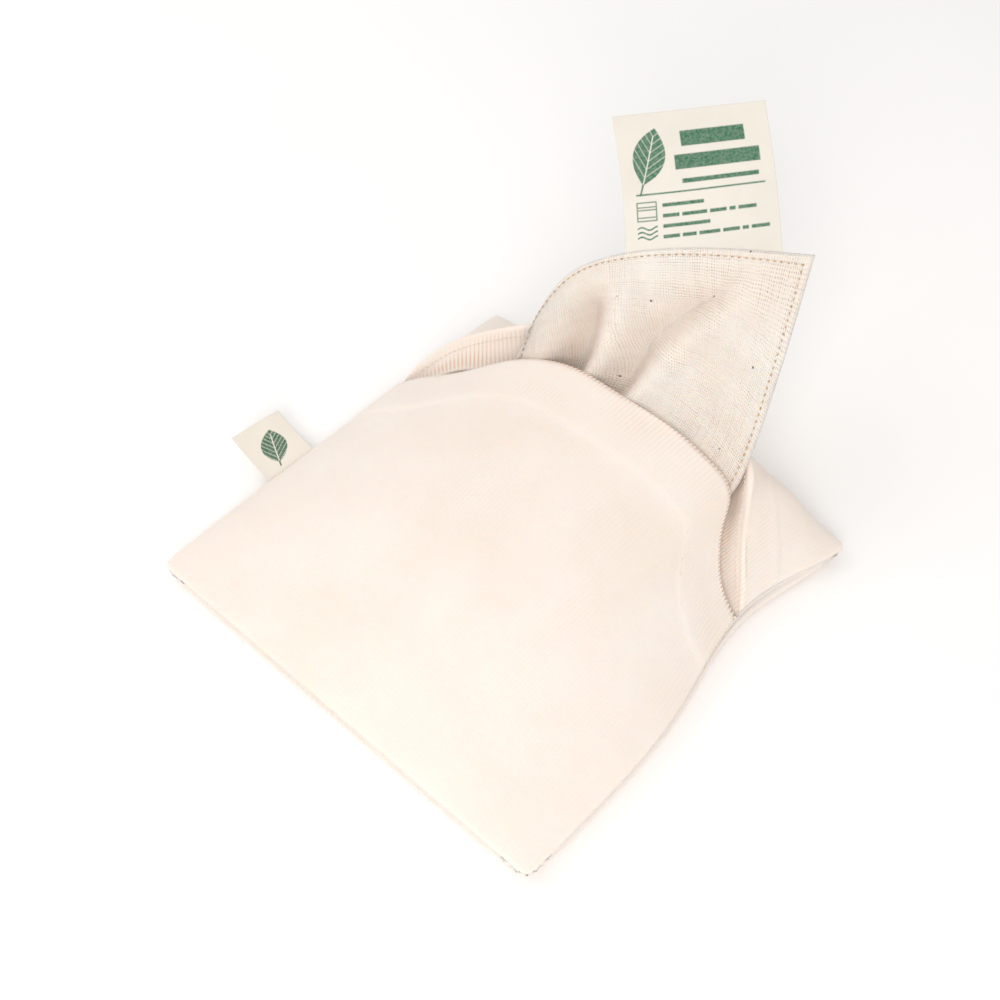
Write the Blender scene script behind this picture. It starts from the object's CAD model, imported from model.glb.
"""Looks of a seed-filled heat compress: a velour envelope cover with a calico pillow drawn half out
of it. Shapes are worked out in millimetres in the frame's own axes and stored in metres."""
import bpy
import math
import numpy as np
from mathutils import Matrix, Vector, noise


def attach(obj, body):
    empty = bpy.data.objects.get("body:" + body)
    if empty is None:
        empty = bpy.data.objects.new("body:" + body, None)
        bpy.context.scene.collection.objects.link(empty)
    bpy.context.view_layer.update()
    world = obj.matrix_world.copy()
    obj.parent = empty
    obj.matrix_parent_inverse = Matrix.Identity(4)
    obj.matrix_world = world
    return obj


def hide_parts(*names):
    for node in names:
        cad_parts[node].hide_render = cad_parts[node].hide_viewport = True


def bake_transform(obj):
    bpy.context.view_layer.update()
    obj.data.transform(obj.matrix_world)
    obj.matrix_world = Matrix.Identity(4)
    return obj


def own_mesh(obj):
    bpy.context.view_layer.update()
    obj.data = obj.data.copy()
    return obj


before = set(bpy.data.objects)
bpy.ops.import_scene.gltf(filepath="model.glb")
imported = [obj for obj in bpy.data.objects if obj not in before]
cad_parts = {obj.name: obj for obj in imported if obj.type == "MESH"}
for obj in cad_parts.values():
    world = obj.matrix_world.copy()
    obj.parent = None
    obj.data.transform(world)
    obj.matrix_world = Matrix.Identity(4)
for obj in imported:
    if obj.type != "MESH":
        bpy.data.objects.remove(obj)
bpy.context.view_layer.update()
MM = 0.001

# ---- sizes, in millimetres ----
HALF = 90.0                  # half the cover's side, seam to seam
SEAM_HEIGHT = 6.0            # of the seams over the table
VELOUR = 1.6                 # thickness of the velour
FRONT_BULGE = 10.0           # of the front panel over a straight drape
FRONT_HEM = 24.0             # depth of the hem inside the front lip
REAR_HEM = 20.0              # depth of the hem inside the rear lip
RIB_PITCH = 1.5              # of the velour's ribs
RIB_POINTS = 5               # of the mesh across each rib
CALICO = 0.8                 # thickness of the calico
BED_THICKNESS = 26.0         # of the pillow at the middle of its seeds
BED_END = 0.6                # where the seeds end, as a share of the pillow's length
LABEL_CLOTH = 0.5            # thickness of the care label
LIP_RADIUS = 1.7             # of the fold at each lip
HEM_RAISE = 0.45             # how far a hem lifts the cloth over it
WAIST = 12.5                 # how far the right seam is drawn in beside the mouth
FAR_LEFT, FAR_RIGHT = 1.5, 3.0   # how far the far edge is drawn in at its two ends
TOPSTITCH_INSET = 2.6        # of the pillow's topstitching from its edge
TOPSTITCH_PITCH = 2.5        # of its stitches
SEAM_INSET = 1.6             # of the seam's stitches from the cover's edge
SEAM_END = 84                # where a seam's stitches end, short of the corners
SEAM_ROW_HEIGHT = 5.0        # of the seams' stitches over the table
SEED_SIZE = 6.0
BED_ACROSS = 150             # nominal width of the pillow over its seeds
PILLOW_TOP, PILLOW_LONG = 100, 200   # nominal lengths of the pillow's top seam and its sides
CORNER_POWER = 60            # of the rounding of the cover's corners: higher is sharper
REAR_BULGE = 5.0             # of the rear flap over a straight drape

# lines across the cover and the pillow from left to right, as (x, y, z) points
FRONT_LIP = [
    (-90, 31, 6), (-84, 33, 12), (-61, 44, 26), (-48, 54.5, 33), (-28, 63, 38), (-5, 64, 39),
    (22, 66, 36.5), (36, 65.5, 34), (50.5, 62, 30), (58, 52, 24.5), (66, 43.5, 19.5),
    (79, 34.5, 12), (90, 31, 6),
]
REAR_LIP = [
    (-90, 32, 6), (-83, 51, 18), (-70, 61, 28), (-61, 65, 34), (-50, 73, 38), (-25, 80, 40),
    (0, 82, 40), (27, 79, 38.5), (50, 72, 35), (61, 60, 29), (74.5, 47, 20.5), (83.5, 39.5, 13),
    (90, 32, 6),
]
REAR_TUCK = [
    (-90, 32, 5.5), (-83, 38, 10), (-70, 47, 19), (-61, 51, 22.5), (-50, 60, 24), (-25, 68, 26),
    (0, 71, 28), (27, 73, 27), (49, 64, 24.5), (56.5, 51, 21), (66.5, 39.8, 14.6), (77, 33.2, 8.8),
    (90, 32, 5.5),
]
PILLOW_ROWS = [
    [(-72, -66, 8), (-37, -54, 9.5), (0, -42, 11), (37, -30, 9.5), (72, -18, 8)],
    [(-75, -40, 9), (-38, -29, 12.5), (0, -18, 14), (39, -8, 12.5), (74, 3, 9)],
    [(-74, -6, 10), (-38, 3, 15), (0, 11, 17), (37, 17, 15), (68, 23, 11)],
    [(-64, 24, 14), (-34, 31, 20.5), (0, 35, 23), (33, 38.5, 21), (58, 40, 15)],
    [(-55, 42, 20), (-29, 52, 26.5), (0, 56, 29), (26, 58, 28), (50, 54, 21)],
    [(-50.5, 54.5, 30), (-28, 67.5, 37.5), (-2, 73, 41), (25, 73.5, 39), (50.5, 67.5, 32.5)],
    [(-49.5, 59, 37), (-35, 74, 56), (-12, 84, 63), (18, 95, 64), (42.5, 94, 58)],
    [(-48.5, 62, 44), (-42.5, 76, 67), (-23, 91, 81), (6, 110, 87.5), (30.6, 124.7, 90)],
]
LABEL_FOOT = (0.435, 0.905)    # where the label leaves the top seam, as shares of it
LABEL_TOP = [(-50, 106.2, 118), (-13.2, 146.6, 122)]
LABEL_CURL = 2.5               # how far the label bows at the middle of its height
TAG_FOOT = [(-92.2, -36.5, 6.5), (-92.2, -14.5, 6.5)]
TAG_TIP = [(-114.5, -35, 12), (-112, -13.4, 12)]

# The pillow's soft folds, each a path of (s, t) shares, its width in millimetres at the path's start
# and end, and its height: a lobe, two hollows and the ridges beside them
FOLDS = [
    ([(0.10, 0.58), (0.12, 0.74), (0.17, 0.86), (0.22, 0.94)], (6, 8), 2.5),
    ([(0.20, 0.56), (0.24, 0.72), (0.31, 0.85), (0.36, 0.95)], (6, 7), -11),
    ([(0.30, 0.56), (0.34, 0.74), (0.41, 0.85), (0.46, 0.97)], (4.5, 6), 4.8),
    ([(0.38, 0.54), (0.45, 0.74), (0.54, 0.82), (0.70, 0.90), (0.88, 0.99)], (6.5, 6), -9.5),
    ([(0.47, 0.54), (0.54, 0.74), (0.64, 0.82), (0.80, 0.92), (0.92, 0.99)], (4.5, 4.5), 3.4),
    ([(0.72, 0.60), (0.78, 0.76), (0.88, 0.87)], (6, 6), -1.2),
]


# ---- ways of making a surface: functions of arrays s and t, from 0 to 1, that give points ----

def spline(points):
    """The smooth curve through points, as a function of shares from 0 to 1."""
    p = np.array(points, float)
    knots = np.concatenate([[0], np.cumsum(np.linalg.norm(np.diff(p, axis=0), axis=1))])
    knots /= knots[-1]
    gap, count = np.diff(knots), len(p)
    system, right = np.eye(count), np.zeros_like(p)
    for i in range(1, count - 1):
        system[i, i - 1:i + 2] = gap[i - 1], 2 * (gap[i - 1] + gap[i]), gap[i]
        right[i] = 6 * ((p[i + 1] - p[i]) / gap[i] - (p[i] - p[i - 1]) / gap[i - 1])
    bend = np.linalg.solve(system, right)

    def at(share):
        share = np.asarray(share, float)
        i = np.clip(np.searchsorted(knots, share, side="right") - 1, 0, count - 2)
        h = gap[i][..., None]
        a = (knots[i + 1] - share)[..., None] / h
        b = 1 - a
        return a * p[i] + b * p[i + 1] + ((a**3 - a) * bend[i] + (b**3 - b) * bend[i + 1]) * h**2 / 6
    return at


def smooth(x, low, high):
    """0 below low, 1 above high, and a soft step between them."""
    x = np.clip((x - low) / (high - low), 0, 1)
    return x * x * (3 - 2 * x)


def bell(x, middle, width):
    return np.exp(-((x - middle) / width) ** 2)


def ripple(points, scale, seed):
    """Smooth noise from -1 to 1 at each point; scale is its size in millimetres."""
    shift = Vector((seed * 17.3, seed * 5.1, seed * 9.7))
    flat = points.reshape(-1, 3) / scale
    made = np.array([noise.noise(Vector(q) + shift) for q in flat])
    return made.reshape(points.shape[:-1])


def normals(points):
    """Unit normals of a grid of points, first index across and second along."""
    across, along = np.gradient(points, axis=0), np.gradient(points, axis=1)
    n = np.cross(across, along)
    return n / np.maximum(np.linalg.norm(n, axis=-1, keepdims=True), 1e-9)


def lengths_along(points, axis):
    """How far each grid point lies along its line, in millimetres."""
    steps = np.linalg.norm(np.diff(points, axis=axis), axis=-1)
    pad = [(0, 0), (0, 0)]
    pad[axis] = (1, 0)
    return np.pad(np.cumsum(steps, axis=axis), pad)


def grid(across, along):
    """Shares s and t of a grid; across and along are counts or lists of shares."""
    s = np.linspace(0, 1, across) if isinstance(across, int) else np.asarray(across)
    t = np.linspace(0, 1, along) if isinstance(along, int) else np.asarray(along)
    return np.meshgrid(s, t, indexing="ij")


# ---- ways of making a mesh ----

def mesh_object(name, points, faces, uv=None):
    """A smooth piece from points in millimetres, at the origin."""
    mesh = bpy.data.meshes.new(name)
    mesh.from_pydata([tuple(p) for p in np.asarray(points) * MM], [], faces)
    if uv is not None:
        layer = mesh.uv_layers.new(name="cloth")
        corners = np.zeros(len(mesh.loops), int)
        mesh.loops.foreach_get("vertex_index", corners)
        layer.data.foreach_set("uv", (np.asarray(uv)[corners] * MM).ravel())
    mesh.polygons.foreach_set("use_smooth", [True] * len(mesh.polygons))
    mesh.update()
    piece = bpy.data.objects.new(name, mesh)
    bpy.context.scene.collection.objects.link(piece)
    return piece


def grid_faces(across, along, start=0, turned=False):
    """The faces between a grid's points, which are numbered from start."""
    faces = []
    for i in range(across - 1):
        for j in range(along - 1):
            a, b = start + i * along + j, start + (i + 1) * along + j
            face = (a, b, b + 1, a + 1)
            faces.append(face[::-1] if turned else face)
    return faces


def apply_modifiers(piece):
    """The piece with its modifiers' result as its mesh."""
    bpy.context.view_layer.update()
    evaluated = piece.evaluated_get(bpy.context.evaluated_depsgraph_get())
    made = bpy.data.meshes.new_from_object(evaluated)
    piece.modifiers.clear()
    piece.data = made
    return piece


# ---- ways of making a material ----

def linear(code):
    """A colour for a shader socket, from its sRGB hex code."""
    parts = [int(code[i:i + 2], 16) / 255 for i in (1, 3, 5)]
    return [c / 12.92 if c <= 0.04045 else ((c + 0.055) / 1.055) ** 2.4 for c in parts] + [1]


def add(tree, kind, settings=None, **links):
    """Adds a node. Settings starting with a capital or a digit set its inputs, others its properties."""
    made = tree.nodes.new(kind)
    for key, value in (settings or {}).items():
        if key[0].isupper() or key[0].isdigit():
            made.inputs[int(key) if key.isdigit() else key].default_value = value
        else:
            setattr(made, key, value)
    for key, source in links.items():
        key = key.replace("_", " ")
        key = int(key[1:]) if key[0] == "i" and key[1:].isdigit() else key
        tree.links.new(source, made.inputs[key])
    return made


def material(name):
    made = bpy.data.materials.new(name)
    made.use_nodes = True
    tree = made.node_tree
    shader = tree.nodes["Principled BSDF"]
    return made, tree, shader


def dress(piece, made):
    piece.data.materials.clear()
    piece.data.materials.append(made)


# ---- trees of geometry nodes ----

def new_tree(name, inputs):
    """An empty tree with named inputs, and its first and last nodes."""
    tree = bpy.data.node_groups.new(name, "GeometryNodeTree")
    tree.interface.new_socket("Geometry", in_out="INPUT", socket_type="NodeSocketGeometry")
    for label, kind in inputs.items():
        tree.interface.new_socket(label, in_out="INPUT", socket_type="NodeSocket" + kind)
    tree.interface.new_socket("Geometry", in_out="OUTPUT", socket_type="NodeSocketGeometry")
    return tree, add(tree, "NodeGroupInput"), add(tree, "NodeGroupOutput")


def finish_tree(tree, last, start, end):
    """Makes the tree's instances real, gives them their material and sends them out."""
    real = add(tree, "GeometryNodeRealizeInstances", Geometry=last)
    done = add(tree, "GeometryNodeSetMaterial", Geometry=real.outputs[0],
               Material=start.outputs["Material"])
    tree.links.new(done.outputs[0], end.inputs[0])


def grow(name, base, tree, settings):
    """The plain mesh that a tree makes from the mesh base."""
    base.name = name
    nodes = base.modifiers.new("grow", "NODES")
    nodes.node_group = tree
    for item in tree.interface.items_tree:
        if item.in_out == "INPUT" and item.name in settings:
            nodes[item.identifier] = settings[item.name]
    apply_modifiers(base)
    base.data.name = name
    base.data.polygons.foreach_set("use_smooth", [True] * len(base.data.polygons))
    return base


def stitch_tree():
    """Sewing stitches along a line of points that know which way is up from the cloth."""
    tree, start, end = new_tree("stitches", {
        "Pitch": "Float", "Length": "Float", "Radius": "Float", "Turn": "Float", "Material": "Material",
    })
    line = add(tree, "GeometryNodeMeshToCurve", Mesh=start.outputs["Geometry"])
    spaced = add(tree, "GeometryNodeResampleCurve", {"mode": "LENGTH"}, Curve=line.outputs[0],
                 Length=start.outputs["Pitch"])
    ball = add(tree, "GeometryNodeMeshUVSphere", {"Segments": 8, "Rings": 5, "Radius": 1.0})
    size = add(tree, "ShaderNodeCombineXYZ", X=start.outputs["Length"], Y=start.outputs["Radius"],
               Z=start.outputs["Radius"])
    stitch = add(tree, "GeometryNodeTransform", Geometry=ball.outputs[0], Scale=size.outputs[0])
    tangent = add(tree, "GeometryNodeInputTangent")
    up = add(tree, "GeometryNodeInputNamedAttribute", {"data_type": "FLOAT_VECTOR", "Name": "up"})
    along = add(tree, "FunctionNodeAlignRotationToVector", {"axis": "X"}, Vector=tangent.outputs[0])
    facing = add(tree, "FunctionNodeAlignRotationToVector", {"axis": "Z", "pivot_axis": "X"},
                 Rotation=along.outputs[0], Vector=up.outputs[0])
    lean = add(tree, "FunctionNodeRandomValue", {"Seed": 3})
    tree.links.new(start.outputs["Turn"], lean.inputs["Max"])
    least = add(tree, "ShaderNodeMath", {"operation": "MULTIPLY", "1": -1.0}, i0=start.outputs["Turn"])
    tree.links.new(least.outputs[0], lean.inputs[2])
    tilt = add(tree, "ShaderNodeCombineXYZ", Z=lean.outputs[1])
    turn = add(tree, "FunctionNodeEulerToRotation", Euler=tilt.outputs[0])
    turned = add(tree, "FunctionNodeRotateRotation", {"rotation_space": "LOCAL"},
                 Rotation=facing.outputs[0])
    tree.links.new(turn.outputs[0], turned.inputs[1])
    placed = add(tree, "GeometryNodeInstanceOnPoints", Points=spaced.outputs[0], Instance=stitch.outputs[0],
                 Rotation=turned.outputs[0])
    finish_tree(tree, placed.outputs[0], start, end)
    return tree


def seed_tree():
    """One seed at each point, each turned and sized by chance."""
    tree, start, end = new_tree("seeds", {"Radius": "Float", "Material": "Material"})
    ball = add(tree, "GeometryNodeMeshUVSphere", {"Segments": 8, "Rings": 6})
    tree.links.new(start.outputs["Radius"], ball.inputs["Radius"])
    oval = add(tree, "GeometryNodeTransform", {"Scale": (1.15, 0.9, 0.85)}, Geometry=ball.outputs[0])
    spin = add(tree, "FunctionNodeRandomValue", {
        "data_type": "FLOAT_VECTOR", "0": (0, 0, 0), "1": (6.28, 6.28, 6.28), "Seed": 5,
    })
    size = add(tree, "FunctionNodeRandomValue", {"2": 0.85, "3": 1.0, "Seed": 7})
    placed = add(tree, "GeometryNodeInstanceOnPoints", Points=start.outputs["Geometry"],
                 Instance=oval.outputs[0])
    tree.links.new(spin.outputs[0], placed.inputs["Rotation"])
    tree.links.new(size.outputs[1], placed.inputs["Scale"])
    finish_tree(tree, placed.outputs[0], start, end)
    return tree


def sewn(name, lines, made, pitch=2.5, share=0.7, radius=0.25, turn=0.15):
    """Rows of stitches: each line is (points, ups) along the cloth, in millimetres."""
    points, ups, edges = [], [], []
    for line, up in lines:
        first = len(points)
        points += [tuple(p) for p in np.asarray(line) * MM]
        ups += [tuple(u) for u in up]
        edges += [(i, i + 1) for i in range(first, len(points) - 1)]
    mesh = bpy.data.meshes.new(name)
    mesh.from_pydata(points, edges, [])
    layer = mesh.attributes.new("up", "FLOAT_VECTOR", "POINT")
    layer.data.foreach_set("vector", np.array(ups, np.float32).ravel())
    base = bpy.data.objects.new(name, mesh)
    bpy.context.scene.collection.objects.link(base)
    return grow(name, base, STITCHES, {
        "Pitch": pitch * MM, "Length": pitch * share / 2 * MM, "Radius": radius * MM, "Turn": turn,
        "Material": made,
    })


# ---- the cover's shape ----

front_lip, rear_lip = spline(FRONT_LIP), spline(REAR_LIP)


def front_drape(s, t):
    """The front panel's middle surface, left to right and from the closed end to the front lip."""
    foot = np.stack([HALF * (2 * s - 1), np.full_like(s, -HALF), np.full_like(s, SEAM_HEIGHT)], -1)
    points = foot * (1 - t)[..., None] + front_lip(s) * t[..., None]
    points[..., 2] += FRONT_BULGE * np.sin(math.pi * s) ** 0.6 * np.sin(math.pi * t ** 0.7)
    return points


def rear_drape(s, t):
    """The rear flap's middle surface, right to left and from the far seam to the rear lip."""
    foot = np.stack([HALF * (1 - 2 * s), np.full_like(s, HALF), np.full_like(s, SEAM_HEIGHT - 0.8)], -1)
    points = foot * (1 - t)[..., None] + rear_lip(1 - s) * t[..., None]
    fuller = 1 + 2.8 * bell(s, 0.14, 0.11)
    puff = REAR_BULGE * np.sin(math.pi * s) ** 0.5 * np.sin(math.pi * t ** 0.6) * fuller
    return points + puff[..., None] * np.array([0, 0.05, 0.95])


def settled(points):
    """The cover as it lies: corners rounded, the far edge and the right seam drawn in a little."""
    moved = points.copy()
    squared = np.abs(points[..., :2]) / HALF
    rounder = np.maximum((squared ** CORNER_POWER).sum(-1) ** (1 / CORNER_POWER), 1)
    moved[..., :2] /= rounder[..., None]
    far = smooth(points[..., 1], 55, 90)
    right, left = smooth(points[..., 0], 30, 90), smooth(-points[..., 0], 30, 90)
    moved[..., 1] -= far * (FAR_RIGHT * right + FAR_LEFT * left)
    near = smooth(points[..., 0], 40, 92) * bell(points[..., 1], 36, 42)
    seam = smooth(points[..., 2], 1, 6)
    moved[..., 0] -= WAIST * near * (0.88 + 0.12 * seam)
    moved[..., 1] += 0.2 * WAIST * near * seam
    moved[..., 2] += 0.1 * WAIST * near * seam
    return moved


def ribs(across):
    """How deep the groove between the velour's ribs is, from 0 to 1, at a place across the cloth."""
    return 1 - np.abs(np.sin(math.pi * across / RIB_PITCH)) ** 0.7


def folded_panel(name, drape, hem, rib_depth, lip_ribs, hem_ribs, ripple_size, made, tuck=None):
    """A velour panel with its sides and foot sewn in and its free edge turned in as a hem. The depths
    are of the grooves between its ribs. A hem with a tuck runs from the lip to that line. The result is
    the panel and the line across its hem just inside the lip."""
    columns = int(2 * HALF / RIB_PITCH) * RIB_POINTS + 1
    s = np.linspace(0, 1, columns)
    fine = 240
    steps = np.linspace(0, fine - 1, fine)
    base = drape(*grid(columns, fine))
    reach = lengths_along(base, 1)
    up = normals(base)
    length = reach[:, -1]

    # each row is a share of the way up, a distance back from the lip, and a turn round the lip's fold
    rise = np.concatenate([[0, .004, .009, .016, .026, .04, .06, .09], np.linspace(.13, .78, 26)])
    rows = [("up", share) for share in rise]
    rows += [("near", back) for back in np.linspace(hem + 6, 1.8, 24)]
    rows += [("fold", turn) for turn in np.linspace(0, math.pi if tuck is None else 0.6 * math.pi, 9)]
    rows += [("hem", back) for back in np.concatenate([[1.5, 3], np.linspace(4.5, hem, 12)])]

    face, depth = np.zeros((columns, len(rows), 3)), np.zeros((columns, len(rows)))
    side = np.minimum(s, 1 - s) * 2 * HALF
    index = np.arange(columns)
    # the pile hides its ribs in some places more than in others
    pile = np.stack([s * 180, np.zeros(columns), np.zeros(columns)], -1)[::6, None] + np.array(
        [[0, j * 4.0, 0] for j in range(len(rows))])[None]
    pile = np.clip(0.5 + 1.1 * ripple(pile, 30, 21), 0.1, 1)
    pile = np.array([np.interp(index, index[::6], pile[:, j]) for j in range(len(rows))]).T
    for j, (kind, value) in enumerate(rows):
        if kind == "up":
            place = value * (length - hem - 6) / 0.8
        elif kind == "fold":
            place = length - LIP_RADIUS
        else:
            place = length - np.maximum(value, LIP_RADIUS)
        share = np.array([np.interp(place[i], reach[i], steps) for i in index])
        low = np.clip(share.astype(int), 0, fine - 2)
        part = (share - low)[:, None]
        point = base[index, low] * (1 - part) + base[index, low + 1] * part
        out = up[index, low] * (1 - part) + up[index, low + 1] * part
        ahead = base[index, low + 1] - base[index, low]
        ahead /= np.linalg.norm(ahead, axis=1, keepdims=True)
        hemmed = smooth(length - place, hem + 2, hem - 1.5)
        rim = np.clip(np.minimum(side, place) / 1.6, 0, 1)
        sewn_in = 0.5 + 0.5 * np.sqrt(1 - (1 - rim) ** 2)
        groove = ribs(s * 2 * HALF) * pile[:, j]
        middle = HEM_RAISE * hemmed
        if kind == "fold":
            depth[:, j] = lip_ribs * groove
            turn_out = math.cos(value) * out + math.sin(value) * ahead
            turn_out *= (LIP_RADIUS - depth[:, j])[:, None]
            face[:, j] = point + out * middle[:, None] + turn_out
            fold_end = j
        elif kind == "hem":
            depth[:, j] = hem_ribs * groove
            line = point + out * (middle - LIP_RADIUS)[:, None]
            if tuck is not None:
                share = value / hem
                line = face[:, fold_end] * (1 - share) + tuck(1 - s) * share
                line[:, 2] -= 2.0 * math.sin(math.pi * share) * smooth(side, 0, 15)
            face[:, j] = line + out * depth[:, j][:, None]
        else:
            close = smooth(length - place, hem * 0.9, 2)
            depth[:, j] = rib_depth * groove * (0.2 + 0.6 * close)
            lift = (VELOUR + (LIP_RADIUS - VELOUR) * hemmed + middle) * sewn_in - depth[:, j] * sewn_in
            face[:, j] = point + out * lift[:, None]
    waves = ripple(face[::6], ripple_size, 1)
    waves = np.array([np.interp(index, index[::6], waves[:, j]) for j in range(len(rows))]).T
    from_foot = np.maximum(np.arange(len(rows)) - 4, 0)[None, :] * 2.0
    clear = np.clip(np.minimum(side[:, None], from_foot) / 12, 0, 1)
    outward = normals(face)
    keep = np.array([0.0 if kind in ("fold", "hem") else 1.0 for kind, value in rows])
    face += outward * (waves * clear * keep)[..., None] * 0.5
    reverse = face - normals(face) * (VELOUR - 0.1)
    piece = closed_cloth(name, settled(face), settled(reverse), {"groove": depth / 0.45})
    dress(piece, made)
    return piece, face[:, fold_end + 2]


def closed_cloth(name, face, reverse, marks=None):
    """A closed cloth between two grids of points, its face's normals pointing out of it. Marks are
    named numbers from 0 to 1 on the face's points, for the material."""
    across, along = face.shape[:2]
    u = lengths_along(face, 0)[:, along // 2]
    v = lengths_along(face, 1)[across // 2]
    uv = np.stack(np.meshgrid(u, v, indexing="ij"), -1).reshape(-1, 2)
    count = across * along
    faces = grid_faces(across, along) + grid_faces(across, along, count, turned=True)
    ring = [(i, 0) for i in range(across)] + [(across - 1, j) for j in range(1, along)]
    ring += [(i, along - 1) for i in range(across - 2, -1, -1)] + [(0, j) for j in range(along - 2, 0, -1)]
    edge = [i * along + j for i, j in ring]
    for p, q in zip(edge, edge[1:] + edge[:1]):
        faces.append((q, p, p + count, q + count))
    points = np.concatenate([face.reshape(-1, 3), reverse.reshape(-1, 3)])
    piece = mesh_object(name, points, faces, np.concatenate([uv, uv]))
    for mark, value in (marks or {}).items():
        layer = piece.data.attributes.new(mark, "FLOAT", "POINT")
        both = np.concatenate([value.ravel(), 0 * value.ravel()])
        layer.data.foreach_set("value", np.clip(both, 0, 1).astype(np.float32))
    return piece


def back_panel(made):
    """The cover's back, which curls down round its edge to the resting face."""
    count = 201
    size = np.linspace(-1, 1, count)
    u, v = np.meshgrid(size, size, indexing="ij")
    across = np.maximum(np.abs(u), np.abs(v))
    rounded = (np.abs(u) ** 8 + np.abs(v) ** 8) ** (1 / 8)
    inner = smooth(1 - across, 0.0, 0.12)
    m = across * (1 - inner) + rounded * inner
    cloth_half = 96.5
    inset = cloth_half * (1 - m)
    knots = [0, 1.2, 3, 6, 9.5, 14, 20, cloth_half]
    radius = np.interp(inset, knots, [89.2, 91.2, 91.6, 90.3, 87.0, 82.5, 76.5, 0])
    height = np.interp(inset, knots, [6.1, 5.95, 4.3, 1.7, 0.5, 0.1, 0, 0])
    scale = radius / np.maximum(m * HALF, 1e-6)
    corner = smooth(np.minimum(np.abs(u), np.abs(v)), 0.8, 1)
    scale = scale * (1 - corner) + np.minimum(scale, 1.0) * corner
    inner_lift = 2.0 * corner * (height > 0.02)
    height = np.clip(height + inner_lift, 0, 6.1 - 0.7 * corner)
    face = np.stack([v * HALF * scale, u * HALF * scale, height], -1)
    groove = ribs(face[..., 0] + HALF)
    reverse = face - normals(face) * (VELOUR - 0.1)
    reverse[..., 2] = np.minimum(reverse[..., 2], 5.9)
    piece = closed_cloth("back_panel_velour", settled(face), settled(reverse), {"groove": 0.3 * groove})
    dress(piece, made)
    return piece


# ---- the pillow's shape ----

pillow_rows = [spline(row) for row in PILLOW_ROWS]


def pillow_middle(s, t):
    """The pillow's middle surface, left to right and from its end seam to its top seam."""
    rows = np.array([row(s) for row in pillow_rows])
    last = len(rows) - 1
    place = np.clip(t * last, 0, last - 1e-6)
    i = place.astype(int)
    f = (place - i)[..., None]

    def row_at(k):
        return np.take_along_axis(rows, np.clip(k, 0, last)[None, ..., None], 0)[0]
    before, a, b, after = row_at(i - 1), row_at(i), row_at(i + 1), row_at(i + 2)

    def span(p, q):
        return np.linalg.norm(q - p, axis=-1, keepdims=True)
    run = span(a, b)
    slope_a = (b - before) * run / (span(before, a) + run)
    slope_b = (after - a) * run / (run + span(b, after))
    return (a * (1 - f) ** 2 * (1 + 2 * f) + b * f ** 2 * (3 - 2 * f)
            + slope_a * f * (1 - f) ** 2 - slope_b * f ** 2 * (1 - f))


def crease(points, path, widths, height):
    """How far a soft fold along a path of (s, t) places lifts each point. Its width goes from the
    first of widths to the second along the path, and its height fades at both ends."""
    shares = np.linspace(0, 1, 40)
    route = spline([(*place, 0) for place in path])(shares)
    line = pillow_middle(route[:, 0], route[:, 1])
    flat = points.reshape(-1, 1, 3)
    start, run = line[:-1], np.diff(line, axis=0)
    part = np.clip(((flat - start) * run).sum(2) / (run ** 2).sum(1), 0, 1)
    gaps = np.linalg.norm(flat - start - run * part[..., None], axis=2)
    nearest = gaps.argmin(1)[:, None]
    share = (shares[nearest] + np.take_along_axis(part, nearest, 1) * shares[1])[:, 0]
    width = widths[0] + (widths[1] - widths[0]) * share
    fade = smooth(share, -0.05, 0.25) * smooth(share, 1.0, 0.6)
    lift = height * fade * np.exp(-(gaps.min(1) / width) ** 2)
    return lift.reshape(points.shape[:-1])


def pillow(made):
    """The pillow's two cloths, folded by the pull that drew them out of the cover."""
    across, along = 161, 261
    even = np.linspace(0, 1, along)
    s, t = grid(across, (1 - np.cos(np.linspace(0, math.pi, along))) / 2 * 0.35 + even * 0.65)
    middle = pillow_middle(s, t)
    up = normals(middle)
    lift = sum(crease(middle, *fold) for fold in FOLDS)
    side_gap = np.minimum(s, 1 - s) * PILLOW_TOP
    top_gap = (1 - t) * PILLOW_LONG
    lift *= smooth(side_gap, 0, 10)
    out = smooth(t, 0.64, 0.76)
    fine = ripple(middle, 9, 3) * 0.35 + ripple(middle, 22, 4) * 0.9
    lift += fine * out * smooth(np.minimum(side_gap, top_gap), 1, 9)
    middle = middle + up * lift[..., None]
    up = normals(middle)
    edge = np.minimum(np.minimum(side_gap, top_gap), t * PILLOW_LONG)
    round_over = np.sqrt(1 - (1 - np.clip(edge / 1.3, 0, 1)) ** 2)
    plump = 0.95 + 0.35 * bell(edge, 1.4, 0.8) - 0.25 * bell(edge, TOPSTITCH_INSET, 0.7)
    puff = 0.5 * smooth(edge, 4, 14) * out
    swell = np.sin(math.pi * np.clip(t / BED_END, 0, 1)) * np.sin(math.pi * s) ** 0.7
    swell = np.where(t < BED_END, swell, 0)
    lumps = 0.3 * ripple(middle, 5, 6) * swell
    half = (plump + puff) * round_over + (BED_THICKNESS / 2 - 1) * swell + lumps + 0.1
    pieces = []
    for name, side in (("pillow_front_calico", 1), ("pillow_back_calico", -1)):
        outer = middle + up * (side * half)[..., None]
        inner = middle + up * (side * (half - np.minimum(CALICO, half * 0.8)))[..., None]
        if side < 0:
            outer, inner = outer[:, ::-1], inner[:, ::-1]
        piece = closed_cloth(name, outer, inner)
        dress(piece, made)
        pieces.append(piece)
    return pieces, (s, t, middle, up, half)


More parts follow.
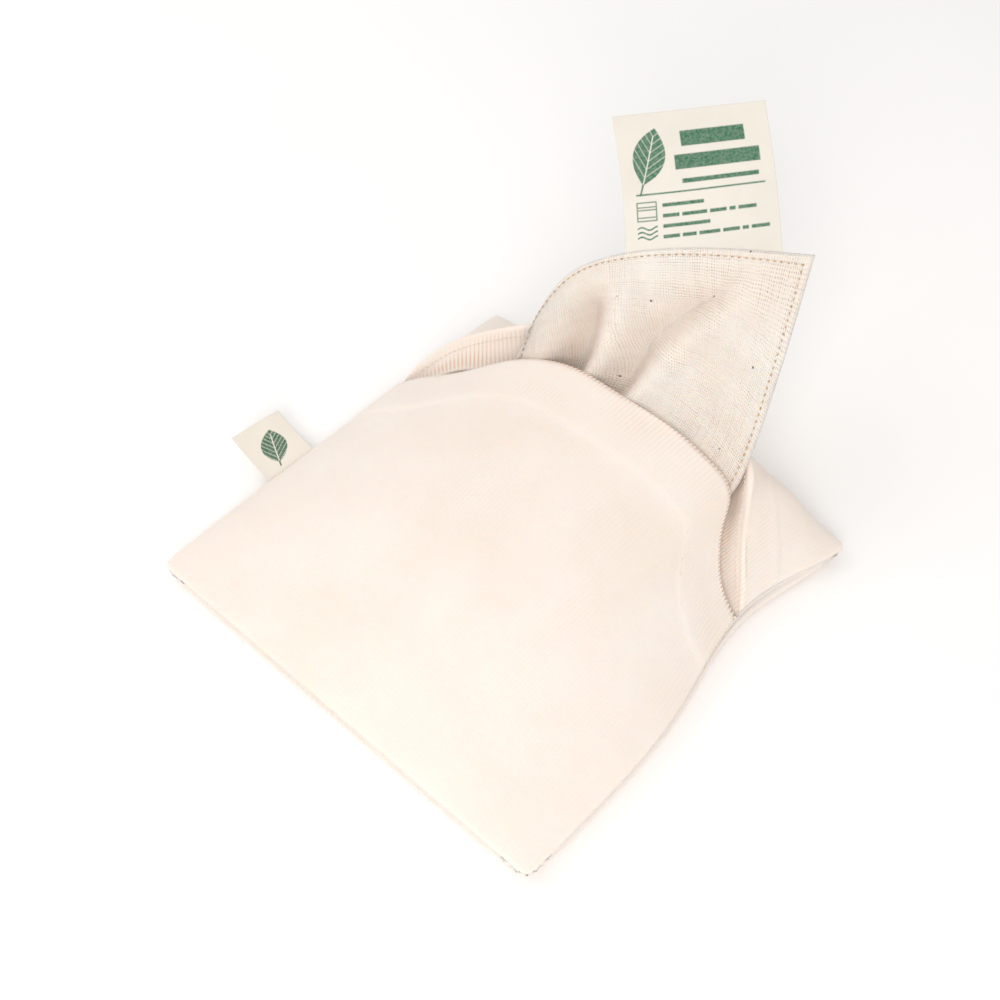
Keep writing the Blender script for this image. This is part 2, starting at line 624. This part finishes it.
def stitch_line(sheet, side, s_path, t_path, lift=0.12):
    """A line of points and ups on one side of the pillow along (s, t) places."""
    s, t, middle, up, half = sheet
    places_s, places_t = s[:, 0], t[0]
    i = np.interp(s_path, places_s, np.arange(len(places_s)))
    j = np.interp(t_path, places_t, np.arange(len(places_t)))
    surface = middle + up * (side * (half + lift))[..., None]

    def read(values):
        i0 = np.clip(i.astype(int), 0, values.shape[0] - 2)
        j0 = np.clip(j.astype(int), 0, values.shape[1] - 2)
        a, b = (i - i0)[:, None], (j - j0)[:, None]
        return ((values[i0, j0] * (1 - a) + values[i0 + 1, j0] * a) * (1 - b)
                + (values[i0, j0 + 1] * (1 - a) + values[i0 + 1, j0 + 1] * a) * b)
    return read(surface), read(up) * side


# ---- the label and the tag ----

def bar(x, y, left, right, low, high):
    """Ink in a rectangle with slightly soft edges, from 0 to 1."""
    soft = 0.18
    return (smooth(x, left - soft, left + soft) * smooth(x, right + soft, right - soft)
            * smooth(y, low - soft, low + soft) * smooth(y, high + soft, high - soft))


def words(x, y, left, lengths, low, high):
    """Ink in a row of plain bars of these lengths."""
    row = 0 * x
    for length in lengths:
        row = np.maximum(row, bar(x, y, left, left + length, low, high))
        left += length + 1.0
    return row


def leaf(x, y, middle, length, width, angle):
    """Ink in a leaf with its veins left bare."""
    c, s = math.cos(angle), math.sin(angle)
    a = (x - middle[0]) * c + (y - middle[1]) * s
    b = (y - middle[1]) * c - (x - middle[0]) * s
    half = width / 2 * np.clip(1 - (2 * a / length) ** 2, 0, 1)
    body = smooth(np.abs(b), half + 0.12, half - 0.12) * (np.abs(a) < length / 2)
    rib = smooth(np.abs(b), 0.3, 0.12) * (a < length * 0.36)
    vein = smooth(np.abs((a - np.abs(b) * 1.1) % (length / 7) - length / 14), 0.26, 0.1)
    stem = smooth(np.abs(b), 0.42, 0.22) * (a < -length / 2 + 0.6) * (a > -length * 0.68)
    return np.maximum(body * (1 - np.maximum(rib, vein * 0.75)), stem)


def waves(x, y, left, right, low, high):
    """Ink in three wavy lines."""
    pitch = (high - low) / 3
    swing = 0.55 * np.sin((x - left) * 2 * math.pi / (right - left) * 1.25)
    place = (y - low - swing) % pitch - pitch / 2
    return smooth(np.abs(place), 0.42, 0.2) * bar(x, y - swing, left, right, low, high)


def frame_mark(x, y, left, right, low, high):
    """Ink in the outline of a box with two lines across it."""
    line = 0.42
    inside = bar(x, y, left + line, right - line, low + line, high - line)
    box = bar(x, y, left, right, low, high) * (1 - inside)
    for level in (low + 1.4, high - 1.9, high - 2.9):
        box = np.maximum(box, bar(x, y, left, right, level - 0.2, level + 0.2))
    return box


def label_ink(x, y):
    """The care label's print: a leaf, plain bars in place of lettering, a rule and two signs."""
    parts = [
        leaf(x, y, (11.0, 36.5), 21, 11.5, 1.25),
        bar(x, y, 23, 46, 39.2, 44.6), bar(x, y, 20, 50.5, 31.2, 36.4),
        bar(x, y, 22, 49.5, 26.2, 27.8), bar(x, y, 5, 51.5, 23.1, 23.7),
        frame_mark(x, y, 4.8, 12.2, 13.8, 20.8),
        waves(x, y, 4.8, 12.2, 7.0, 12.1),
        words(x, y, 14.2, (15,), 18.5, 19.8), words(x, y, 14.2, (6, 9, 6, 2.2, 6.5), 14.7, 16.0),
        words(x, y, 14.2, (17,), 11.0, 12.3), words(x, y, 14.2, (6, 5, 7.5, 6, 2.2, 6.5), 7.2, 8.5),
    ]
    return np.maximum.reduce(parts)


def care_label(made):
    """The printed label that stands up out of the pillow's top seam."""
    s, t = grid(221, 211)
    share = LABEL_FOOT[0] + (LABEL_FOOT[1] - LABEL_FOOT[0]) * s
    foot = pillow_middle(share, np.ones_like(share))
    top = np.array(LABEL_TOP[0]) * (1 - s)[..., None] + np.array(LABEL_TOP[1]) * s[..., None]
    rise = top - foot
    tall = np.linalg.norm(rise, axis=-1, keepdims=True)
    foot = foot - rise / tall * 2.0
    bow = np.sin(math.pi * t) * LABEL_CURL
    middle = foot * (1 - t)[..., None] + top * t[..., None] + bow[..., None] * np.array([0, 0.7, -0.7])
    up = normals(middle)
    middle = middle + up * (0.7 * ripple(middle, 26, 8) * smooth(t, 0.05, 0.5))[..., None]
    x, y = lengths_along(middle, 0), lengths_along(middle, 1) - 2.0
    ink = label_ink(x * 57 / x[-1].max(), 52 - (y[:, -1:] - y))
    weave = 0.03 * np.sin(x * 2 * math.pi / 0.9) * np.sin(y * 2 * math.pi / 0.9)
    face = middle + up * (LABEL_CLOTH / 2 + weave)[..., None]
    piece = closed_cloth("care_label_cloth", face, middle - up * LABEL_CLOTH / 2, {"ink": ink})
    dress(piece, made)
    return piece


def side_tag(made):
    """A ribbon folded double, held in the left seam by its two ends."""
    columns, fold_rows = 101, 9
    s = np.linspace(0, 1, columns)
    foot = np.array(TAG_FOOT[0]) * (1 - s)[:, None] + np.array(TAG_FOOT[1]) * s[:, None]
    tip = np.array(TAG_TIP[0]) * (1 - s)[:, None] + np.array(TAG_TIP[1]) * s[:, None]
    ahead = tip - foot
    reach = np.linalg.norm(ahead, axis=1, keepdims=True)
    ahead /= reach
    up = np.cross((foot[-1] - foot[0]) / np.linalg.norm(foot[-1] - foot[0]), ahead)
    ply, gap = 0.4, 0.55
    runs = [("top", f) for f in np.linspace(-0.14, 0.97, 70)]
    runs += [("fold", a) for a in np.linspace(0, math.pi, fold_rows)]
    runs += [("under", f) for f in np.linspace(0.97, -0.14, 30)]
    face, ink = np.zeros((columns, len(runs), 3)), np.zeros((columns, len(runs)))
    for j, (kind, value) in enumerate(runs):
        share = 0.985 if kind == "fold" else value
        sag = 0.8 * math.sin(math.pi * min(max(share, 0), 1)) + 0.3 * np.sin(s * 5 + 1)
        spread = gap * (0.5 + 0.5 * math.sin(math.pi * min(max(share, 0), 1)))
        line = foot + ahead * reach * share - up * sag[:, None]
        if kind == "fold":
            line = line + ahead * gap * math.sin(value) + up * gap * math.cos(value) * 0.6
        else:
            line = line + up * spread * (0.6 if kind == "top" else -0.6)
            if kind == "top":
                x, y = s * 22, np.full(columns, value * 24)
                ink[:, j] = leaf(y, x, (11.0, 11.0), 16, 10.5, 0.35)
        face[:, j] = line
    piece = closed_cloth("side_tag_ribbon", face, face - normals(face) * ply, {"ink": ink})
    dress(piece, made)
    return piece


# ---- materials ----

def noisy(tree, place, scale, detail=2.0):
    return add(tree, "ShaderNodeTexNoise", {"Scale": scale, "Detail": detail}, Vector=place).outputs[0]


def sums(tree, operation, *values):
    """A calculation; each value is a number or another node's output."""
    made = add(tree, "ShaderNodeMath", {"operation": operation})
    for i, value in enumerate(values):
        if isinstance(value, float):
            made.inputs[i].default_value = value
        else:
            tree.links.new(value, made.inputs[i])
    return made.outputs[0]


def ranged(tree, value, *limits):
    """A value moved from the range of the first two limits to that of the last two."""
    return add(tree, "ShaderNodeMapRange", dict(zip("1234", limits)), Value=value).outputs[0]


def mixed(tree, amount, colour, code, blend="MIX"):
    """A colour with an amount of a second one over it."""
    made = add(tree, "ShaderNodeMix", {"data_type": "RGBA", "blend_type": blend})
    tree.links.new(amount, made.inputs[0])
    tree.links.new(colour, made.inputs[6])
    made.inputs[7].default_value = linear(code)
    return made.outputs[2]


def bumped(tree, shader, height, strength, distance):
    bump = add(tree, "ShaderNodeBump", {"Strength": strength, "Distance": distance}, Height=height)
    tree.links.new(bump.outputs[0], shader.inputs["Normal"])


def surface(shader, **values):
    for label, value in values.items():
        shader.inputs[label.replace("_", " ")].default_value = value


def cloth_colours(tree, size, low, high):
    """The object's own axes, and a colour that drifts between two tones; size is in millimetres."""
    place = add(tree, "ShaderNodeTexCoord").outputs["Object"]
    tone = add(tree, "ShaderNodeValToRGB", Fac=noisy(tree, place, 1000 / size, 4.0))
    for stop, position, code in zip(tone.color_ramp.elements, (0.35, 0.65), (low, high)):
        stop.position, stop.color = position, linear(code)
    return place, tone.outputs[0]


def soak_light(shader):
    """Light goes a little way into cotton and comes out warmer."""
    surface(shader, Subsurface_Weight=0.35, Subsurface_Radius=(1.0, 0.55, 0.35), Subsurface_Scale=0.003)


def velour():
    """Cotton nicki velour: cut loops of cotton that scatter light softly and darken only where the
    pile parts between its ribs."""
    made, tree, shader = material("cotton_velour")
    place, tone = cloth_colours(tree, 38, "#f1e3d9", "#f5e9e1")
    groove = add(tree, "ShaderNodeAttribute", {"attribute_name": "groove"})
    amount = sums(tree, "MULTIPLY", groove.outputs["Fac"], 0.85)
    colour = mixed(tree, amount, tone, "#d9b48e", "MULTIPLY")
    tree.links.new(colour, shader.inputs["Base Color"])
    # the pile's tufts are about 0.3 mm across; they are drawn at 0.6 mm to show
    tufts, patches = noisy(tree, place, 1700.0, 3.0), noisy(tree, place, 160.0, 3.0)
    bumped(tree, shader, sums(tree, "MULTIPLY_ADD", patches, 1.5, tufts), 0.35, 0.0003)
    surface(shader, Roughness=0.92, Specular_IOR_Level=0.2, Sheen_Weight=0.35, Sheen_Roughness=0.5,
            Sheen_Tint=linear("#fff4ea"))
    soak_light(shader)
    return made


def calico():
    """Unbleached calico: a plain weave of uneven cotton threads, matte, with flecks of seed husk."""
    made, tree, shader = material("unbleached_calico")
    tone = cloth_colours(tree, 30, "#f4e3d8", "#f8ece2")[1]
    # threads are about 0.45 mm apart; they are drawn at 0.9 mm so that the weave shows, and wander
    # by about 0.2 mm
    pitch = 0.9
    flat = add(tree, "ShaderNodeUVMap", {"uv_map": "cloth"}).outputs[0]
    wander = add(tree, "ShaderNodeTexNoise", {"Scale": 300.0, "Detail": 3.0}, Vector=flat)
    warped = add(tree, "ShaderNodeVectorMath", {"operation": "MULTIPLY_ADD", "1": (0.0012, 0.0012, 0)},
                 i0=wander.outputs["Color"], i2=flat)
    split = add(tree, "ShaderNodeSeparateXYZ", Vector=warped.outputs[0])
    uneven, threads = [], []
    for axis, stretch in enumerate(((1400.0, 45.0, 1.0), (45.0, 1400.0, 1.0))):
        scaled = add(tree, "ShaderNodeMapping", {"Scale": stretch}, Vector=flat)
        uneven.append(noisy(tree, scaled.outputs[0], 1.0, 1.0))
        turns = sums(tree, "MULTIPLY", split.outputs[axis], math.pi * 1000 / pitch)
        threads.append(sums(tree, "ABSOLUTE", sums(tree, "SINE", turns)))
    slub = sums(tree, "ADD", *uneven)
    height = sums(tree, "MULTIPLY_ADD", slub, 0.8, sums(tree, "MULTIPLY", *threads))
    gap = ranged(tree, sums(tree, "MAXIMUM", *threads), 0.15, 0.72, 0.75, 0.0)
    dark = sums(tree, "MULTIPLY", gap, ranged(tree, slub, 0.75, 1.25, 1.5, 0.3))
    # the cloth is woven more openly in some places than in others
    open_weave = ranged(tree, noisy(tree, flat, 45.0), 0.38, 0.58, 0.35, 1.0)
    woven = mixed(tree, sums(tree, "MULTIPLY", dark, open_weave), tone, "#8f6a50", "MULTIPLY")
    # scattered flecks of husk, about half a millimetre across
    cells = add(tree, "ShaderNodeTexVoronoi", {"Scale": 105.0, "Randomness": 1.0}, Vector=flat)
    spot = ranged(tree, cells.outputs["Distance"], 0.03, 0.06, 1.0, 0.0)
    chance = add(tree, "ShaderNodeSeparateXYZ", Vector=cells.outputs["Color"])
    fleck = sums(tree, "MULTIPLY", spot, sums(tree, "LESS_THAN", chance.outputs[0], 0.6))
    tree.links.new(mixed(tree, fleck, woven, "#6a4c35"), shader.inputs["Base Color"])
    bumped(tree, shader, height, 0.7, 0.0003)
    surface(shader, Roughness=0.95, Specular_IOR_Level=0.15, Sheen_Weight=0.08)
    soak_light(shader)
    return made


def printed(name, low, high, ink):
    """Smooth cotton tape with a matte green print soaked into it."""
    made, tree, shader = material(name)
    place, tone = cloth_colours(tree, 20, low, high)
    mark = add(tree, "ShaderNodeAttribute", {"attribute_name": "ink"})
    # the print takes unevenly on the threads
    grain = noisy(tree, place, 1100.0)
    cover = sums(tree, "MULTIPLY", mark.outputs["Fac"], ranged(tree, grain, 0.3, 0.7, 0.8, 1.0))
    tree.links.new(mixed(tree, cover, tone, ink), shader.inputs["Base Color"])
    bumped(tree, shader, grain, 0.3, 0.0001)
    surface(shader, Roughness=0.8, Specular_IOR_Level=0.25)
    return made


def thread(name, low, high):
    """Spun thread: two plies whose twist breaks up the light, with a faint shine."""
    made, tree, shader = material(name)
    place, tone = cloth_colours(tree, 3, low, high)
    tree.links.new(tone, shader.inputs["Base Color"])
    twist = add(tree, "ShaderNodeTexWave", {"Scale": 900.0, "Distortion": 1.5}, Vector=place)
    bumped(tree, shader, twist.outputs["Fac"], 0.5, 0.0001)
    surface(shader, Roughness=0.65)
    return made


def seed_skin():
    """Dry seed husk: dull brown with darker patches and fine wrinkles."""
    made, tree, shader = material("seed_husk")
    place, tone = cloth_colours(tree, 4, "#6e4a2f", "#a57a54")
    tree.links.new(tone, shader.inputs["Base Color"])
    bumped(tree, shader, noisy(tree, place, 2500.0), 0.4, 0.0001)
    surface(shader, Roughness=0.7)
    return made


def paper_floor():
    made, tree, shader = material("white_paper")
    tone = cloth_colours(tree, 400, "#fbfbfb", "#ffffff")[1]
    tree.links.new(tone, shader.inputs["Base Color"])
    surface(shader, Roughness=0.9)
    return made


# ---- the object ----

STITCHES, SEEDS = stitch_tree(), seed_tree()
VELOUR_CLOTH, CALICO_CLOTH = velour(), calico()
SEWING = thread("sewing_thread", "#e9dccb", "#f6ecdf")
TOPSTITCH = thread("topstitch_thread", "#b08a5c", "#d6b98c")
SEED = seed_skin()

front, _ = folded_panel("front_panel_velour", front_drape, hem=FRONT_HEM, rib_depth=0.17, lip_ribs=0.75,
                        hem_ribs=0.25, ripple_size=34, made=VELOUR_CLOTH)
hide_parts("front_panel")
flap, flap_inner = folded_panel("rear_flap_velour", rear_drape, hem=REAR_HEM, rib_depth=0.2, lip_ribs=0.1,
                                hem_ribs=0.4, ripple_size=22, made=VELOUR_CLOTH, tuck=spline(REAR_TUCK))
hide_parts("rear_flap")
back = back_panel(VELOUR_CLOTH)
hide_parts("back_panel")
(pillow_front, pillow_back), sheet = pillow(CALICO_CLOTH)
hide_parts("pillow_front_cloth")
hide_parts("pillow_back_cloth")
label = care_label(printed("label_tape", "#dedad0", "#e4e0d6", "#336d51"))
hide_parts("care_label")
tag = side_tag(printed("tag_ribbon", "#e3dcd1", "#e9e2d7", "#2d6349"))
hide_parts("side_tag")


# ---- stitches ----

def topstitch_row(name, side, start, end, node):
    """Stitches along one side of the pillow between two (s, t) places."""
    count = 300
    s_path, t_path = np.linspace(start[0], end[0], count), np.linspace(start[1], end[1], count)
    line = stitch_line(sheet, side, s_path, t_path)
    row = sewn(name, [line], TOPSTITCH, pitch=TOPSTITCH_PITCH, share=0.5, radius=0.28)
    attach(row, "pillow")
    if node:
        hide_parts(node)


inset_s, inset_t = TOPSTITCH_INSET / PILLOW_TOP, TOPSTITCH_INSET / PILLOW_LONG
TOP_LEFT, TOP_RIGHT = (inset_s, 1 - inset_t), (1 - inset_s, 1 - inset_t)
END_LEFT, END_RIGHT = (inset_s, inset_t), (1 - inset_s, inset_t)
for cloth_side, side in (("front", 1), ("back", -1)):
    for seam, start, end, node in (
        ("top", TOP_LEFT, TOP_RIGHT, "pillow_top_thread"),
        ("left", END_LEFT, TOP_LEFT, "pillow_left_thread"),
        ("right", END_RIGHT, TOP_RIGHT, "pillow_right_thread"),
        ("end", END_LEFT, END_RIGHT, "pillow_end_thread"),
    ):
        name = f"pillow_{seam}_topstitch_{cloth_side}"
        topstitch_row(name, side, start, end, node if cloth_side == "front" else None)


def cover_stitches(name, node, line, up, pitch, radius=0.22):
    row = sewn(name, [(settled(line), up)], SEWING, pitch=pitch, radius=radius)
    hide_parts(node)
    return row


def drape_line(drape, back, lift, low=0.05, high=0.95):
    """A line across a panel, a distance back from its lip and lifted off its middle surface."""
    s, t = grid(np.linspace(low, high, 300), 200)
    points = drape(s, t)
    up = normals(points)
    reach = lengths_along(points, 1)
    index = [np.interp(reach[i, -1] - back, reach[i], np.arange(200)) for i in range(300)]
    pick = np.arange(300), np.array(index).astype(int)
    return points[pick] + up[pick] * lift, up[pick] * (1 if lift > 0 else -1)


hem_line = drape_line(front_drape, FRONT_HEM - 1, LIP_RADIUS + HEM_RAISE - 0.28)
front_row = cover_stitches("front_hem_stitches", "front_hem_thread", *hem_line, pitch=2.6, radius=0.15)
rear_hem = flap_inner[30:-30]
rear_row = cover_stitches("rear_lip_stitches", "rear_hem_thread", rear_hem + np.array([0, -0.1, 0.2]),
                          np.tile([0, -0.5, 0.87], (len(rear_hem), 1)), pitch=2.2)


def seam_row(name, node, start, end):
    """Stitches along a seam of the cover between two (x, y) places."""
    line = np.linspace((*start, SEAM_ROW_HEIGHT), (*end, SEAM_ROW_HEIGHT), 200)
    return cover_stitches(name, node, line, np.tile([0, 0, 1.0], (200, 1)), pitch=3.0)


EDGE = HALF - SEAM_INSET
left_row = seam_row("left_seam_stitches", "left_seam_thread", (-EDGE, -SEAM_END), (-EDGE, SEAM_END))
right_row = seam_row("right_seam_stitches", "right_seam_thread", (EDGE, -SEAM_END), (EDGE, SEAM_END))
end_row = seam_row("closed_end_seam_stitches", "closed_end_seam_thread", (-SEAM_END, -EDGE),
                   (SEAM_END, -EDGE))
flap_row = seam_row("flap_seam_stitches", "flap_seam_thread", (-SEAM_END, EDGE), (SEAM_END, EDGE))


# ---- seeds ----

def seed_bed():
    """Seeds in the pillow's closed end, packed in layers between its cloths."""
    s, t, middle, up, half = sheet
    rng = np.random.default_rng(11)
    places = []
    for a in np.arange(0.07, 0.94, SEED_SIZE * 1.05 / BED_ACROSS):
        for b in np.arange(0.05, 0.53, SEED_SIZE * 0.95 / PILLOW_LONG):
            i, j = np.abs(s[:, 0] - a).argmin(), np.abs(t[0] - b).argmin()
            room = half[i, j] - CALICO - SEED_SIZE * 0.62
            if room < 0:
                continue
            layers = max(1, int(2 * room / (SEED_SIZE * 0.9)) + 1)
            for level in np.linspace(-room, room, layers) if layers > 1 else [0.0]:
                shake = rng.uniform(-0.25, 0.25, 2) * SEED_SIZE
                places.append(middle[i, j] + up[i, j] * level + np.array([shake[0], shake[1], 0]))
    return mesh_object("seed_places", np.array(places), [])


seeds = grow("seed_bed", seed_bed(), SEEDS, {"Radius": SEED_SIZE / 2 * MM, "Material": SEED})
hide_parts("seed_fill")
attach(seeds, "pillow")

# ---- what rides on what ----

for piece in (front, flap, back):
    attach(piece, "cover")
for piece in (left_row, right_row, end_row, flap_row, front_row, rear_row):
    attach(piece, "cover")
for piece in (front, flap, front_row, rear_row):
    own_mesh(piece)
for piece in (pillow_front, pillow_back):
    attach(piece, "pillow")
foot = Vector(pillow_middle(*(np.array([[v]]) for v in (sum(LABEL_FOOT) / 2, 1.0)))[0, 0] * MM)
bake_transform(label)
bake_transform(tag)

# ---- floor, light and camera ----

FLOOR_HALF, FLOOR_DROP = 2000, 0.05
around = ((-1, -1), (1, -1), (1, 1), (-1, 1))
floor_corners = [(x * FLOOR_HALF, y * FLOOR_HALF, -FLOOR_DROP) for x, y in around]
floor = mesh_object("floor", floor_corners, [(0, 1, 2, 3)])
dress(floor, paper_floor())

scene = bpy.context.scene
scene.view_settings.view_transform = "Standard"
world = bpy.data.worlds.new("studio")
scene.world = world
world.use_nodes = True
world.node_tree.nodes["Background"].inputs["Color"].default_value = linear("#fffdfb")
world.node_tree.nodes["Background"].inputs["Strength"].default_value = 0.74


def softbox(name, place, size, power, colour):
    """A square soft light that faces the object."""
    lamp = bpy.data.lights.new(name, "AREA")
    lamp.shape, lamp.size, lamp.energy = "SQUARE", size, power
    lamp.color = linear(colour)[:3]
    piece = bpy.data.objects.new(name, lamp)
    piece.location = place
    piece.rotation_euler = (-Vector(place)).to_track_quat("-Z", "Y").to_euler()
    scene.collection.objects.link(piece)


softbox("key_light", (0.55, -0.75, 0.75), 0.6, 6, "#fffaf6")
softbox("fill_light", (-0.8, -0.3, 0.8), 0.9, 2.8, "#ffffff")

AZIMUTH, ELEVATION = math.radians(42.99), math.radians(51.23)
DISTANCE, ASIDE, ABOVE = 568.6, -4.08, 24.5   # of the camera from the frame's origin
behind = Vector((math.sin(AZIMUTH) * math.cos(ELEVATION), -math.cos(AZIMUTH) * math.cos(ELEVATION),
                 math.sin(ELEVATION)))
right = Vector((math.cos(AZIMUTH), math.sin(AZIMUTH), 0))
above = behind.cross(right)
lens = bpy.data.cameras.new("camera")
lens.lens, lens.sensor_width, lens.clip_start = 55.2, 36, 0.01
camera = bpy.data.objects.new("camera", lens)
place = Matrix.Translation((behind * DISTANCE + right * ASIDE + above * ABOVE) * MM)
camera.matrix_world = place @ Matrix((right, above, behind)).transposed().to_4x4()
scene.collection.objects.link(camera)
scene.camera = camera
